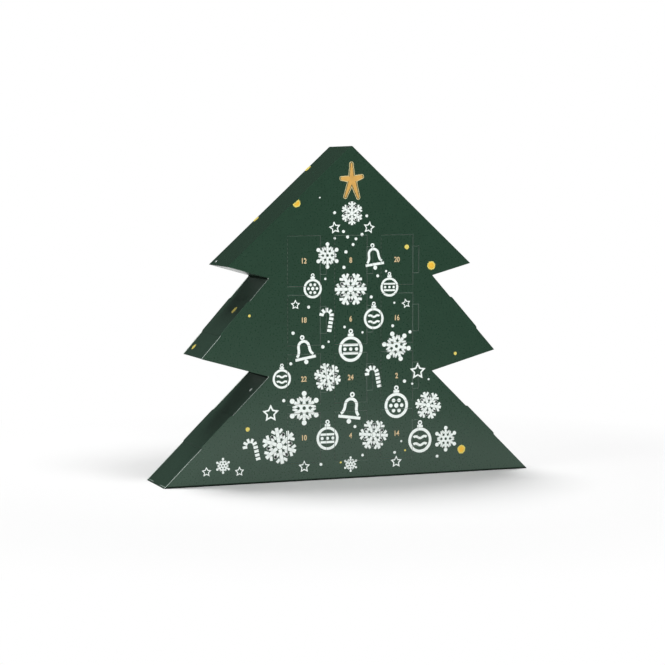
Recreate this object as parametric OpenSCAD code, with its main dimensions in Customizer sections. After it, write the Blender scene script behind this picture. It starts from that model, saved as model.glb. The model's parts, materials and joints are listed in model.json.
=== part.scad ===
// Free-standing, double-sided advent calendar in the shape of a three-tiered fir tree.
// It is folded from printed board, stands on a flat foot, and has twelve numbered doors on each face.
// A slotted card insert behind the doors makes one compartment for each foil-wrapped chocolate.
// Millimetres. X runs across the tree, Y from the front to the back, Z up. The origin is the middle of the foot.

/* [Tree outline] */
// Width across the foot
base_w = 300; // [280:1:330]
// Height of the ridge above the foot
tree_h = 255.5; // [246:0.5:290]
// Depth from the front face to the back face
box_d = 48.6; // [44:0.2:60]
// Width across the tips of the middle tier
middle_tip_w = 241; // [220:1:262]
// Height of the tips of the middle tier
middle_tip_z = 96; // [90:0.5:104]
// Width across the tips of the upper tier
upper_tip_w = 199; // [184:1:216]
// Height of the tips of the upper tier
upper_tip_z = 164.5; // [160:0.5:172]
// Width of the trunk between opposite notches
notch_w = 134; // [130:1:146]
// Height of the notches between the upper and the middle tier
upper_notch_z = 155.5; // [148:0.5:160]
// Height of the notches between the middle and the lower tier
lower_notch_z = 81; // [74:0.5:87]

/* [Board] */
// Thickness of the printed board
board_t = 1.0; // [0.8:0.1:1.4]
// Thickness of the glue film between boards
glue_gap = 0.1; // [0.05:0.05:0.2]
// Length along the slope of the fold-over flaps on the two lower tiers
flap_len = 34.5; // [24:0.5:44]
// Length of the wall strips' glue lap under the roof
lap_len = 30; // [15:1:45]

/* [Doors] */
// Width of a door, without its tab
door_w = 26.6; // [24.5:0.1:29]
// Height of a door
door_h = 38.2; // [36:0.2:41]
// Distance between the columns of doors
pitch_x = 38.2; // [37:0.1:40]
// Distance between the rows of doors
pitch_z = 45; // [43:0.5:46]
// Height of the middle of the lowest row of doors
first_row_z = 33; // [29:0.5:35]
// Sideways place of the middle column, seen from the face that it is on
grid_x = -1; // [-2:0.25:2]
// Width of a pull tab
tab_w = 4.8; // [3:0.2:6]
// Height of a pull tab
tab_h = 20.4; // [12:0.2:26]
// Width of the die cut round the free edges of a door
cut_gap = 0.25; // [0.15:0.05:0.4]
// Half the width of the slit at a door's hinge edge
hinge_gap = 0.05; // [0.05:0.05:0.2]
// Distance between the perforations along a hinge edge
perf_pitch = 3.2; // [2.6:0.1:4]
// Length of one perforation
perf_len = 1.7; // [1:0.1:2.2]
// Width of one perforation, from the hinge edge into the door
perf_w = 0.4; // [0.2:0.05:0.8]
// Depth of one perforation, a half cut from the outer face
perf_d = 0.6; // [0.3:0.05:0.75]
// Width of the crease between a door and its tab
crease_w = 0.5; // [0.3:0.1:0.8]
// Depth of that crease
crease_d = 0.3; // [0.1:0.05:0.5]

/* [Insert] */
// Thickness of the card of the insert
insert_t = 1.0; // [0.8:0.1:1.4]
// Clearance of the insert inside the box
insert_gap = 0.2; // [0.1:0.05:0.4]
// Clearance on each side of a strip in its slot
slot_gap = 0.15; // [0.1:0.05:0.25]
// Height of the insert above the top shelf
insert_over = 1.5; // [1:0.25:3]

/* [Chocolates] */
// Width of a wrapped chocolate
choc_w = 23; // [18:0.5:24]
// Height of a wrapped chocolate
choc_h = 33; // [26:0.5:35]
// Thickness of a wrapped chocolate, without its raised motif
choc_t = 13; // [8:0.5:14]
// Radius of its corners
choc_r = 5; // [3:0.5:7]
// Width of the step round its face
choc_step = 1.8; // [1:0.2:2.6]
// Height of the raised motif on its face
relief_t = 1; // [0.6:0.1:1.5]

/* [Hidden] */
$fn = 96;
face_y = box_d / 2;
inner_y = face_y - board_t;
front_numbers = [[12, 8, 20], [18, 6, 16], [22, 24, 2], [10, 4, 14]];
back_numbers = [[5, 19, 11], [23, 1, 13], [9, 17, 3], [21, 7, 15]];
foot = [base_w / 2, 0];
lower_notch = [notch_w / 2, lower_notch_z];
middle_tip = [middle_tip_w / 2, middle_tip_z];
upper_notch = [notch_w / 2, upper_notch_z];
upper_tip = [upper_tip_w / 2, upper_tip_z];
apex = [0, tree_h];
axis_line = [[0, 0], [0, 1]];
wall_in = glue_gap + board_t;
insert_z = board_t + glue_gap;
insert_top = first_row_z + 3.5 * pitch_z + insert_over;
strip_back = insert_t / 2 + glue_gap;
strip_front = inner_y - insert_gap;
strip_mid = (strip_back + strip_front) / 2;
insert_x = min(inside_half(wall_in + insert_gap)[1][0], inside_half(wall_in + insert_gap)[3][0]);

// Plane geometry of the outline: points are [x, z] on the right half, and inward is to the left going up
function along(a, b) = (b - a) / norm(b - a);
function inward(a, b) = [-along(a, b)[1], along(a, b)[0]];
function inset(a, b, t) = [a + t * inward(a, b), b + t * inward(a, b)];
function meet(p, q) = p[0] + (p[1] - p[0]) * cross(q[0] - p[0], q[1] - q[0]) / cross(p[1] - p[0], q[1] - q[0]);
function level(z) = [[0, z], [1, z]];
function mirrored(half) = [for (i = [len(half) - 1:-1:0]) if (half[i][0] > 0.001) [-half[i][0], half[i][1]]];
function whole(half) = concat(half, mirrored(half));

// The panels follow the outline, and stop under the roof on the upper slopes
function panel_half(roof) = [
    foot, lower_notch, middle_tip, upper_notch,
    meet([upper_notch, upper_tip], inset(upper_tip, apex, roof)),
    meet(inset(upper_tip, apex, roof), axis_line)];

// Corners of a fold-over flap on the slope from a up to b, and the front's outline with the flaps on it
function flap_corners(a, b) = let (mid = (a + b) / 2, d = along(a, b) * flap_len / 2, t = -board_t * inward(a, b))
    [mid - d, mid - d + t, mid + d + t, mid + d];
function front_half() = concat(
    [foot], flap_corners(foot, lower_notch), [lower_notch, middle_tip],
    flap_corners(middle_tip, upper_notch), [upper_notch],
    [for (i = [4, 5]) panel_half(board_t)[i]]);

// The outline moved in by t, and by one board more under the roof, down to the top of the base
function inside_half(t) = [
    meet(level(insert_z), inset(foot, lower_notch, t)),
    meet(inset(foot, lower_notch, t), inset(lower_notch, middle_tip, t)),
    meet(inset(lower_notch, middle_tip, t), inset(middle_tip, upper_notch, t)),
    meet(inset(middle_tip, upper_notch, t), inset(upper_notch, upper_tip, t)),
    meet(inset(upper_notch, upper_tip, t), inset(upper_tip, apex, t + board_t)),
    meet(inset(upper_tip, apex, t + board_t), axis_line)];

// A side wall from the base up to its glue lap under the roof: outer corners, then inner corners back down
function wall_outline() = let (out = inside_half(glue_gap), in = inside_half(wall_in), up = along(upper_tip, apex))
    concat(
        [for (i = [0:4]) out[i]],
        [out[4] + lap_len * up, out[4] + lap_len * up + board_t * inward(upper_tip, apex)],
        [for (i = [4:-1:0]) in[i]]);

// Places of the doors, by row from the top and column from the left of the face
function two(n) = n < 10 ? str("0", n) : str(n);
function column_x(c) = grid_x + (c - 1) * pitch_x;
function row_z(r) = first_row_z + (3 - r) * pitch_z;
function shelf_z(k) = first_row_z + (k - 0.5) * pitch_z;
function upright_x(j) = grid_x + (j - 1.5) * pitch_x;
function place(n) = [for (s = [0, 1]) for (r = [0:3]) for (c = [0:2])
    if ((s == 0 ? front_numbers : back_numbers)[r][c] == n) [s, r, c]][0];

// Draws a plane figure in X and Z as a slab from y0 to y1
module slab(y0, y1) {
    translate([0, y1, 0])
        rotate([90, 0, 0])
            linear_extrude(height = y1 - y0)
                children();
}

module door_figure(left, grow) {
    translate([left, -door_h / 2 - grow])
        square([door_w - left + grow, door_h + 2 * grow]);
    translate([door_w / 2, -tab_h / 2 - grow])
        square([door_w / 2 + tab_w + grow, tab_h + 2 * grow]);
}

module door_openings() {
    for (r = [0:3])
        for (c = [0:2])
            translate([column_x(c) - door_w / 2, row_z(r)])
                door_figure(-hinge_gap, cut_gap);
}

module flaps() {
    for (side = [0, 1])
        mirror([side, 0]) {
            polygon(flap_corners(foot, lower_notch));
            polygon(flap_corners(middle_tip, upper_notch));
        }
}

module roof_figure() {
    outer = whole([upper_tip, apex]);
    inner = whole([for (i = [4, 5]) panel_half(board_t)[i]]);
    polygon([outer[0], outer[1], outer[2], inner[2], inner[1], inner[0]]);
}

// The printed front, folded over at the roof and at the four flaps
module front_panel() {
    color("#2f4a3b")
        difference() {
            union() {
                slab(-face_y, -inner_y) polygon(whole(front_half()));
                slab(-face_y, face_y) roof_figure();
                slab(-inner_y, face_y) flaps();
            }
            slab(-face_y - 1, -inner_y + 1) door_openings();
        }
}

module back_panel() {
    color("#33503f")
        difference() {
            slab(inner_y, face_y) polygon(whole(panel_half(board_t + glue_gap)));
            rotate([0, 0, 180])
                slab(-face_y - 1, -inner_y + 1) door_openings();
        }
}

module right_wall_strip() {
    color("#2b4336")
        slab(-inner_y + glue_gap, inner_y - glue_gap) polygon(wall_outline());
}

module left_wall_strip() {
    mirror([1, 0, 0]) right_wall_strip();
}

module base_panel() {
    edge = meet([foot, lower_notch], level(board_t));
    color("#d8d4c8")
        slab(-inner_y + glue_gap, inner_y - glue_gap)
            polygon([[-foot[0], 0], [foot[0], 0], edge, [-edge[0], edge[1]]]);
}

// Everything of the insert stays inside the walls and the roof
module inside_room() {
    intersection() {
        children();
        slab(-face_y, face_y) polygon(whole(inside_half(wall_in + insert_gap)));
    }
}

module centre_board() {
    color("#c9b999")
        inside_room()
            translate([-insert_x, -insert_t / 2, insert_z])
                cube([2 * insert_x, insert_t, insert_top - insert_z]);
}

module uprights() {
    inside_room()
        difference() {
            for (j = [0:3])
                translate([upright_x(j) - insert_t / 2, -strip_front, insert_z])
                    cube([insert_t, strip_front - strip_back, insert_top - insert_z]);
            for (k = [0:4])
                translate([-face_y * 4, -strip_front - 1, shelf_z(k) - insert_t / 2 - slot_gap])
                    cube([face_y * 8, strip_front - strip_mid + slot_gap + 1, insert_t + 2 * slot_gap]);
        }
}

module shelves() {
    inside_room()
        difference() {
            for (k = [0:4])
                translate([-insert_x, -strip_front, shelf_z(k) - insert_t / 2])
                    cube([2 * insert_x, strip_front - strip_back, insert_t]);
            for (j = [0:3])
                translate([upright_x(j) - insert_t / 2 - slot_gap, -strip_mid - slot_gap, 0])
                    cube([insert_t + 2 * slot_gap, strip_mid, insert_top + 1]);
        }
}

module front_uprights() {
    color("#d2c3a3") uprights();
}

module back_uprights() {
    color("#d2c3a3") rotate([0, 0, 180]) uprights();
}

module front_shelves() {
    color("#dccfb2") shelves();
}

module back_shelves() {
    color("#dccfb2") rotate([0, 0, 180]) shelves();
}

// A door with a perforated hinge edge on its left and a creased pull tab on its right
module door(n) {
    at = place(n);
    slits = floor((door_h / 2 - perf_len) / perf_pitch);
    color("#35543f")
        rotate([0, 0, 180 * at[0]])
            translate([column_x(at[2]) - door_w / 2, -face_y, row_z(at[1])])
                difference() {
                    slab(0, board_t) door_figure(hinge_gap, 0);
                    for (i = [-slits:slits])
                        translate([-1, -1, i * perf_pitch - perf_len / 2])
                            cube([1 + hinge_gap + perf_w, 1 + perf_d, perf_len]);
                    translate([door_w - crease_w / 2, -1, -tab_h / 2])
                        cube([crease_w, 1 + crease_d, tab_h]);
                }
}

module rounded_figure(w, h, r) {
    square([w - 2 * r, h], center = true);
    square([w, h - 2 * r], center = true);
    for (x = [-1, 1])
        for (z = [-1, 1])
            translate([x * (w / 2 - r), z * (h / 2 - r)])
                circle(r = r);
}

module star_figure(r) {
    polygon([for (i = [0:9]) (i % 2 == 0 ? r : r * 0.45) * [sin(36 * i), cos(36 * i)]]);
}

module tree_figure(r) {
    polygon(r * [[0, 1], [0.45, 0.4], [0.25, 0.4], [0.6, -0.1], [0.35, -0.1], [0.75, -0.65], [0.15, -0.65],
                 [0.15, -0.95], [-0.15, -0.95], [-0.15, -0.65], [-0.75, -0.65], [-0.35, -0.1], [-0.6, -0.1],
                 [-0.25, 0.4], [-0.45, 0.4]]);
}

module bell_figure(r) {
    polygon(r * [[0.12, 0.95], [0.3, 0.75], [0.42, 0.1], [0.75, -0.45], [0.75, -0.65], [0.2, -0.65], [0.2, -0.9],
                 [-0.2, -0.9], [-0.2, -0.65], [-0.75, -0.65], [-0.75, -0.45], [-0.42, 0.1], [-0.3, 0.75],
                 [-0.12, 0.95]]);
}

module flake_figure(r) {
    for (a = [0, 60, 120])
        rotate(a)
            square([r * 0.24, 2 * r], center = true);
}

module motif(n) {
    r = choc_w * 0.36;
    if (n % 4 == 0) star_figure(r);
    if (n % 4 == 1) tree_figure(r);
    if (n % 4 == 2) bell_figure(r);
    if (n % 4 == 3) flake_figure(r);
}

// A wrapped chocolate stands on its shelf with its back against the centre board
module chocolate(n) {
    at = place(n);
    back = -insert_t / 2;
    body = choc_t * 0.8;
    color("#c79a3a")
        rotate([0, 0, 180 * at[0]])
            translate([column_x(at[2]), back, shelf_z(3 - at[1]) + insert_t / 2 + choc_h / 2]) {
                slab(-body, 0) rounded_figure(choc_w, choc_h, choc_r);
                slab(-choc_t, -body)
                    rounded_figure(choc_w - 2 * choc_step, choc_h - 2 * choc_step, choc_r - choc_step / 2);
                slab(-choc_t - relief_t, -choc_t) motif(n);
            }
}

front_panel();
back_panel();
left_wall_strip();
right_wall_strip();
base_panel();
centre_board();
front_uprights();
back_uprights();
front_shelves();
back_shelves();
for (n = [1:24]) door(n);
for (n = [1:24]) chocolate(n);
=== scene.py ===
"""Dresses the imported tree-shaped advent calendar: printed board, doors, insert, print and chocolates."""

import json
import math
import random

import bmesh
import bpy
from bpy.props import FloatProperty, FloatVectorProperty, IntProperty, PointerProperty
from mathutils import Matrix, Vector

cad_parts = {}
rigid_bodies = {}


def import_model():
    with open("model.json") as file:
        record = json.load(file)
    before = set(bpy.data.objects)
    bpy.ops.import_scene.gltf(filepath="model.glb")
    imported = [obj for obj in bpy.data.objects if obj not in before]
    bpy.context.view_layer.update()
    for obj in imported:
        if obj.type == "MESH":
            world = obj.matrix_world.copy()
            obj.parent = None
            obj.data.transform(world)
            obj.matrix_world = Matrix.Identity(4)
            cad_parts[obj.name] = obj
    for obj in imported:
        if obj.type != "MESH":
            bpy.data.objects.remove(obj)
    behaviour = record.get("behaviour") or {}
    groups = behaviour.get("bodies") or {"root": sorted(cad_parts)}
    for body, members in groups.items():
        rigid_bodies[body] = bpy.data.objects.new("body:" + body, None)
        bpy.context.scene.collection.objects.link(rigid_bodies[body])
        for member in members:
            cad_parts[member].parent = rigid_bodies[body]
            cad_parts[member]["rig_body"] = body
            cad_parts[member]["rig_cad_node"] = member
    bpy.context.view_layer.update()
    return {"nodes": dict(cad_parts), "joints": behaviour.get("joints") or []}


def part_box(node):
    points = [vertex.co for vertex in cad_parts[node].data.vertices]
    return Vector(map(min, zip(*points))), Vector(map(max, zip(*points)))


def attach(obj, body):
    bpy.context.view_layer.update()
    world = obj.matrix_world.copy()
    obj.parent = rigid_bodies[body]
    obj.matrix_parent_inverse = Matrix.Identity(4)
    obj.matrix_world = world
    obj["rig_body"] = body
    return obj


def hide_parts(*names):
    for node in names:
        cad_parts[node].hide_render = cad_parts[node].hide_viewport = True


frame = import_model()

bl_info = {
    "name": "Tree advent calendar",
    "version": (1, 0, 0),
    "blender": (4, 5, 0),
    "location": "View3D > Sidebar > Calendar",
    "description": "Dresses a folded-board advent calendar with print, doors, an insert and chocolates",
    "category": "Object",
}

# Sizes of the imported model, in metres
MM = 0.001
FACE_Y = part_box("front_panel")[1].y
BOARD_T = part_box("door_12")[1].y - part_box("door_12")[0].y
HINGES = {int(joint["child"][-2:]): Vector(joint["pos_m"]) for joint in frame["joints"]}
FRONT_DOORS = sorted(number for number, at in HINGES.items() if at.y < 0)
BACK_DOORS = sorted(number for number, at in HINGES.items() if at.y > 0)

# Doors, die cuts, flaps and glue, in millimetres, as in the part's source
DOOR_W = 26.6
DOOR_H = 38.2
TAB_W = 4.8
TAB_H = 20.4
CUT_GAP = 0.25
CREASE_D = 0.3
FLAP_LEN = 34.5
GLUE_GAP = 0.1

# Strip on each side of a hinge that stays free of ink, in millimetres, so that the ink of an open door and of
# its sheet don't touch
HINGE_BARE = 0.17

# Corners of the right half of the tree, in millimetres, from the foot up to the ridge, and its three slopes
OUTLINE = [(150.0, 0.0), (67.0, 81.0), (120.5, 96.0), (67.0, 155.5), (99.5, 164.5), (0.0, 255.5)]
SLOPES = {"lower": OUTLINE[0:2], "middle": OUTLINE[2:4], "upper": OUTLINE[4:6]}

# The doors lie within this distance of the middle and between these heights, in metres
FIELD_X = 60 * MM
FIELD_LOW = 10 * MM
FIELD_HIGH = 190 * MM

# The base's narrow ledge outside the walls starts at this x and shows its core beyond this y, and the base's
# pressed edges are longer than this, in metres
LEDGE_X = 0.147
LEDGE_Y = 0.0095
BASE_EDGE = 0.1

# Least share of a direction in the normal of a face that looks that way, and of one that leans that way
FACING = 0.9
LEANING = 0.3

# Least share of down in the normal of a wall's underside, and most share of x in that of a wall's ends
UNDERSIDE = 0.5
STRIP_END = 0.05

# Least depth of a face that runs from the front towards the back, and least angle of a fold in radians
DEEP = 10 * MM
FOLD_ANGLE = 0.5

# Steps round a fold or a rounded edge, and the share of the sheet's fold radius that a wall's folds have
FOLD_STEPS = 3
WALL_FOLD = 0.6

# How near a corner has to be to count as at a place, an edge as on a hinge, and a face as in its slits
NEAR = 0.05 * MM
HINGE_NEAR = 0.2 * MM
SLIT_NEAR = 0.6 * MM

# Most that the ends of an upright edge lie apart in x, and least depth of the floor of a hinge's slits
UPRIGHT_APART = 0.02 * MM
SLIT_DEEP = 0.1 * MM

# Least that the corners of a flap's outside stand out, and most height of the front's lower edge
FLAP_OUT = 0.2 * MM
FOOT_HIGH = 0.1 * MM

# How near corners are merged on a copy of the model, on finished print and while print is drawn and cut, in
# metres, and the angle up to which faces count as flat and are joined
MERGE = 1e-6
PRINT_MERGE = 2e-6
DRAWN_MERGE = 1e-7
FLAT = math.radians(0.5)

# Order of the materials on a board piece. The wall, roof, dark edge, slit and darker cut-core tones carry
# painted shade, and the cut edge tone is partly a painted highlight
PRINTED, CORE, REVERSE, CUT_AND_HIGHLIGHT, INK_AND_SHADE, SHADED_WALL, CUT_SHADE, SLIT_SHADE, WORN, SHADED_ROOF = range(10)
BOARD_FINISHES = ("printed_green", "board_core", "board_reverse", "cut_edge", "inked_edge", "wall_green",
                  "pressed_core", "hinge_slit", "worn_fold", "roof_green")


def colour_value(name, description, default):
    """A colour that a user may change."""
    return FloatVectorProperty(name=name, description=description, subtype="COLOR", size=3, min=0, max=1,
                               default=default)


def length_value(name, description, default, **limits):
    """A length that a user may change."""
    return FloatProperty(name=name, description=description, unit="LENGTH", default=default, **limits)


def power_value(name, description, default):
    """The power of a lamp, which a user may change."""
    return FloatProperty(name=name, description=description, subtype="POWER", default=default)


class CALENDAR_PG_board(bpy.types.PropertyGroup):
    """Colours and edges of the printed board."""

    green: colour_value("Printed green", "Ink on the outside of the board", (0.0198, 0.0525, 0.0312))
    core: colour_value("Core", "Cut edge of the board", (0.70, 0.79, 0.74))
    reverse: colour_value("Reverse", "Unprinted inside of the board", (0.62, 0.60, 0.55))
    # Pale tone of the die cuts and crease walls: cracked ink, partly a painted highlight
    cut: colour_value("Cut edge", "Ink that the die has pressed and cracked", (0.18, 0.255, 0.21))
    # Near-black edge, darker than the ink itself: inked edges darkened into painted shade
    inked: colour_value("Inked edge", "Edge that the ink has run over", (0.012, 0.020, 0.015))
    # Copy of the printed green with its own tone for the walls and flaps: painted shade
    wall: colour_value("Wall green", "Duller ink of the walls and the flaps", (0.0254, 0.0516, 0.0356))
    # Darker copy of the printed green for the folded slopes at the top: painted shade
    roof: colour_value("Roof green", "Ink of the folded slopes at the top", (0.0158, 0.0418, 0.0250))
    # Painted shade: the dark core inside the cuts and on the upright cut edges
    pressed: colour_value("Pressed core", "Core that the die has pressed in a cut", (0.145, 0.18, 0.158))
    # Painted shade: the dark core inside the hinge perforations
    slit: colour_value("Hinge slits", "Core in the perforations of a hinge", (0.16, 0.20, 0.17))
    worn: colour_value("Worn fold", "Ink that the fold of a flap has stretched", (0.04, 0.078, 0.055))
    fold_radius: length_value("Fold radius", "Outer radius of the folds", 0.0008, min=0.0001)
    # Painted shade: the dark line in the inner folds
    inner_fold: length_value(
        "Inner fold", "Width of the dark line in the inner folds", 0.0016, min=0.0002, max=0.003)
    cut_width: length_value(
        "Cut edge width", "Width of the pressed edge at a die cut", 0.00012, min=0.00005)
    bare_edge: length_value(
        "Bare edge", "Width of the pale core that shows on the front's outer edge", 0.0007, min=0.0001)
    # Painted shade: the dark line along the front's foot
    foot_band: length_value(
        "Foot band", "Height of the dark line at the front's lower edge", 0.0014, min=0.0011)
    foot_radius: length_value(
        "Foot radius", "Roundness of the front's lower edge", 0.00095, min=0.0001)
    flap_chamfer: length_value(
        "Flap chamfer", "How far the pressed ends of a flap slope", 0.0016, min=0.0, max=0.003)
    flap_taper: length_value(
        "Flap taper", "How much thinner a flap is at its glued end", 0.00065, min=0.0, max=0.0009)


class CALENDAR_PG_print(bpy.types.PropertyGroup):
    """Colours and sizes of the print."""

    white: colour_value("White ink", "Ink of the winter motifs", (0.85, 0.91, 0.875))
    gold: colour_value("Gold ink", "Middle of the larger dots", (0.84, 0.49, 0.05))
    pale_gold: colour_value("Pale gold ink", "Small dots, and the rim of larger ones", (0.72, 0.60, 0.14))
    star_gold: colour_value("Star gold ink", "Ink of the star at the top", (0.66, 0.38, 0.10))
    star_rim: colour_value("Star rim ink", "Outline of the star at the top", (0.66, 0.56, 0.29))
    numeral: colour_value("Numeral ink", "Ink of the door numbers", (0.74, 0.56, 0.32))
    score: colour_value("Score line", "Pressed line that joins the doors of a column", (0.045, 0.085, 0.058))
    film: length_value("Ink thickness", "How far the ink stands out", 0.00002, min=0.00001)
    numeral_height: length_value("Numeral height", "Height of a door number", 0.0044, min=0.002)
    snow_count: IntProperty(
        name="Snow dots", description="Small white dots among a face's motifs", default=34, min=0, max=200)


class CALENDAR_PG_inside(bpy.types.PropertyGroup):
    """Colours of the insert and of the chocolates' foil."""

    card: colour_value("Insert card", "Uncoated card of the insert", (0.50, 0.42, 0.31))
    foil: colour_value("Gold foil", "Foil of most chocolates", (0.86, 0.58, 0.18))
    red_foil: colour_value("Red foil", "Foil of every third chocolate", (0.55, 0.03, 0.035))
    soften: length_value("Foil edge radius", "Roundness of a wrapped chocolate", 0.0009, min=0.0002)


class CALENDAR_PG_stage(bpy.types.PropertyGroup):
    """Floor, light and camera."""

    floor: colour_value("Floor", "Colour of the floor", (0.825, 0.825, 0.825))
    sky: FloatProperty(
        name="Ambient", description="Strength of the white room round the object", default=0.12)
    top_watts: power_value("Top light", "Power of the soft light above and behind", 17.7)
    right_watts: power_value("Right light", "Power of the soft light high at the front right", 8.9)
    left_watts: power_value("Left light", "Power of the soft light low on the left", 5.0)
    front_watts: power_value("Front light", "Power of the low soft light behind the camera", 19.9)
    gloss_sky: FloatProperty(
        name="Mirrored room", description="Strength of the room in the gloss of the object", default=0.055)
    # Painted reflection: a glow of the floor that only the object's gloss sees
    gloss_floor: FloatProperty(
        name="Mirrored floor", description="Strength of the near floor in the object's gloss", default=1.75)
    lens: FloatProperty(
        name="Lens", description="Focal length of the camera", subtype="DISTANCE_CAMERA", default=107.59)
    eye: FloatVectorProperty(
        name="Camera place", description="Where the camera stands", subtype="TRANSLATION", size=3,
        default=(-0.55402, -1.43844, 0.23155))
    aim: FloatVectorProperty(
        name="Camera aim", description="What the camera looks at", subtype="TRANSLATION", size=3,
        default=(-0.00668, 0.0, 0.11113))


# Selecting and editing


def deselect():
    """Leaves edit mode and deselects everything."""
    if bpy.context.object is not None and bpy.context.object.mode != "OBJECT":
        bpy.ops.object.mode_set(mode="OBJECT")
    bpy.ops.object.select_all(action="DESELECT")


def take(*pieces):
    """Selects these pieces alone, the first one active."""
    deselect()
    for piece in pieces:
        piece.select_set(True)
    bpy.context.view_layer.objects.active = pieces[0]


def edit(piece):
    """Opens a piece in edit mode with all of it selected."""
    take(piece)
    bpy.ops.object.mode_set(mode="EDIT")
    bpy.ops.mesh.select_mode(type="VERT")
    bpy.ops.mesh.select_all(action="SELECT")


def leave():
    """Leaves edit mode."""
    bpy.ops.object.mode_set(mode="OBJECT")


def choose(piece, kind, test):
    """In edit mode, selects the faces, edges or vertices that pass a test, and says how many."""
    bpy.ops.mesh.select_mode(type=kind)
    bpy.ops.mesh.select_all(action="DESELECT")
    mesh = bmesh.from_edit_mesh(piece.data)
    mesh.normal_update()
    items = {"FACE": mesh.faces, "EDGE": mesh.edges, "VERT": mesh.verts}[kind]
    found = [item for item in items if test(item)]
    for item in found:
        item.select_set(True)
    mesh.select_flush_mode()
    bmesh.update_edit_mesh(piece.data)
    return len(found)


def bisect_all(place, across, **options):
    """In edit mode, cuts the whole mesh along a plane."""
    bpy.ops.mesh.select_all(action="SELECT")
    bpy.ops.mesh.bisect(plane_co=place, plane_no=across, **options)


def apply_place(piece):
    """Puts a piece's place, turn and scale into its mesh."""
    take(piece)
    bpy.ops.object.transform_apply(location=True, rotation=True, scale=True)


def rename(piece, name):
    """Names a piece and its mesh."""
    piece.name = name
    piece.data.name = name


def cad_copy(node, name):
    """A merged copy of a CAD node, with its flat faces whole again."""
    take(frame["nodes"][node])
    bpy.ops.object.duplicate()
    piece = bpy.context.active_object
    bpy.ops.object.parent_clear(type="CLEAR_KEEP_TRANSFORM")
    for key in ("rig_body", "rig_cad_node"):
        if key in piece:
            del piece[key]
    rename(piece, name)
    piece.data.materials.clear()
    edit(piece)
    bpy.ops.mesh.customdata_custom_splitnormals_clear()
    bpy.ops.mesh.remove_doubles(threshold=MERGE)
    bpy.ops.mesh.dissolve_limited(angle_limit=FLAT)
    leave()
    return piece


def ride(piece, body, node=None):
    """Lets a piece move with a body and hides the node that it stands for."""
    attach(piece, body)
    if node is not None:
        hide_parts(node)


# Materials

# A noise mostly runs between these values, over which a colour or a roughness is spread
NOISE_LOW = 0.3
NOISE_HIGH = 0.7

# Paper: features a metre in its colour and its gloss, how much its roughness varies, and its grain's strength
PAPER_MOTTLE = 230.0
PAPER_PATCHES = 700.0
PAPER_ROUGH_VARY = 0.05
PAPER_GRAIN = 0.25

# Foil: features a metre in its colour, gloss and facets, its darkest and lightest shade, its least and
# greatest roughness, and the strength of its facets and their height in metres
FOIL_MOTTLE = 320.0
FOIL_PATCHES = 500.0
FOIL_FACETS = 420.0
FOIL_SHADES = (0.85, 1.08)
FOIL_ROUGH = (0.2, 0.34)
FOIL_CRINKLE = 0.45
FOIL_DEPTH = 0.0004


def new_shader(name):
    """A material with a Principled shader, and its node tree."""
    material = bpy.data.materials.new(name)
    material.use_nodes = True
    return material, material.node_tree, material.node_tree.nodes["Principled BSDF"]


def add_node(tree, kind, **values):
    """A node with its inputs set by name."""
    node = tree.nodes.new(kind)
    for key, value in values.items():
        node.inputs[key.replace("_", " ")].default_value = value
    return node


def on_object(tree, node):
    """Puts a node on the piece's own coordinates."""
    place = tree.nodes.new("ShaderNodeTexCoord")
    tree.links.new(place.outputs["Object"], node.inputs["Vector"])
    return node


def object_noise(tree, scale, detail=2.0):
    """Noise on the piece's own coordinates. The scale is in features a metre."""
    noise = add_node(tree, "ShaderNodeTexNoise", Scale=scale, Detail=detail, Roughness=0.55)
    return on_object(tree, noise).outputs["Fac"]


def ramp(tree, factor, dark, light):
    """Colour from dark to light over the noise's range."""
    node = tree.nodes.new("ShaderNodeValToRGB")
    low, high = node.color_ramp.elements
    low.position = NOISE_LOW
    low.color = (*dark, 1)
    high.position = NOISE_HIGH
    high.color = (*light, 1)
    tree.links.new(factor, node.inputs["Fac"])
    return node.outputs["Color"]


def spread(tree, factor, low, high):
    """The noise's range, stretched to run from low to high."""
    node = add_node(tree, "ShaderNodeMapRange", From_Min=NOISE_LOW, From_Max=NOISE_HIGH,
                    To_Min=low, To_Max=high)
    tree.links.new(factor, node.inputs["Value"])
    return node.outputs["Result"]


def raise_bump(tree, shader, height, strength, distance):
    """Lets a height raise the surface of a shader."""
    node = add_node(tree, "ShaderNodeBump", Strength=strength, Distance=distance)
    tree.links.new(height, node.inputs["Height"])
    tree.links.new(node.outputs["Normal"], shader.inputs["Normal"])


def shade(colour, factor):
    """A colour made darker or lighter."""
    return tuple(min(1.0, channel * factor) for channel in colour)


def paper_material(name, colour, vary, rough, specular, grain, bump):
    """Board, card or ink: mottled colour, uneven gloss and a fine surface grain."""
    material, tree, shader = new_shader(name)
    mottle = object_noise(tree, PAPER_MOTTLE, 4.0)
    tint = ramp(tree, mottle, shade(colour, 1 - vary), shade(colour, 1 + vary))
    patches = object_noise(tree, PAPER_PATCHES)
    gloss = spread(tree, patches, rough - PAPER_ROUGH_VARY, rough + PAPER_ROUGH_VARY)
    tree.links.new(tint, shader.inputs["Base Color"])
    tree.links.new(gloss, shader.inputs["Roughness"])
    shader.inputs["Specular IOR Level"].default_value = specular
    raise_bump(tree, shader, object_noise(tree, grain, 3.0), PAPER_GRAIN, bump)
    return material


def foil_material(name, colour):
    """Crinkled metal foil with small facets and soft creases."""
    material, tree, shader = new_shader(name)
    dark, light = (shade(colour, factor) for factor in FOIL_SHADES)
    tint = ramp(tree, object_noise(tree, FOIL_MOTTLE, 3.0), dark, light)
    tree.links.new(tint, shader.inputs["Base Color"])
    shader.inputs["Metallic"].default_value = 1.0
    tree.links.new(spread(tree, object_noise(tree, FOIL_PATCHES), *FOIL_ROUGH), shader.inputs["Roughness"])
    facets = on_object(tree, add_node(tree, "ShaderNodeTexVoronoi", Scale=FOIL_FACETS))
    raise_bump(tree, shader, facets.outputs["Distance"], FOIL_CRINKLE, FOIL_DEPTH)
    return material


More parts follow.
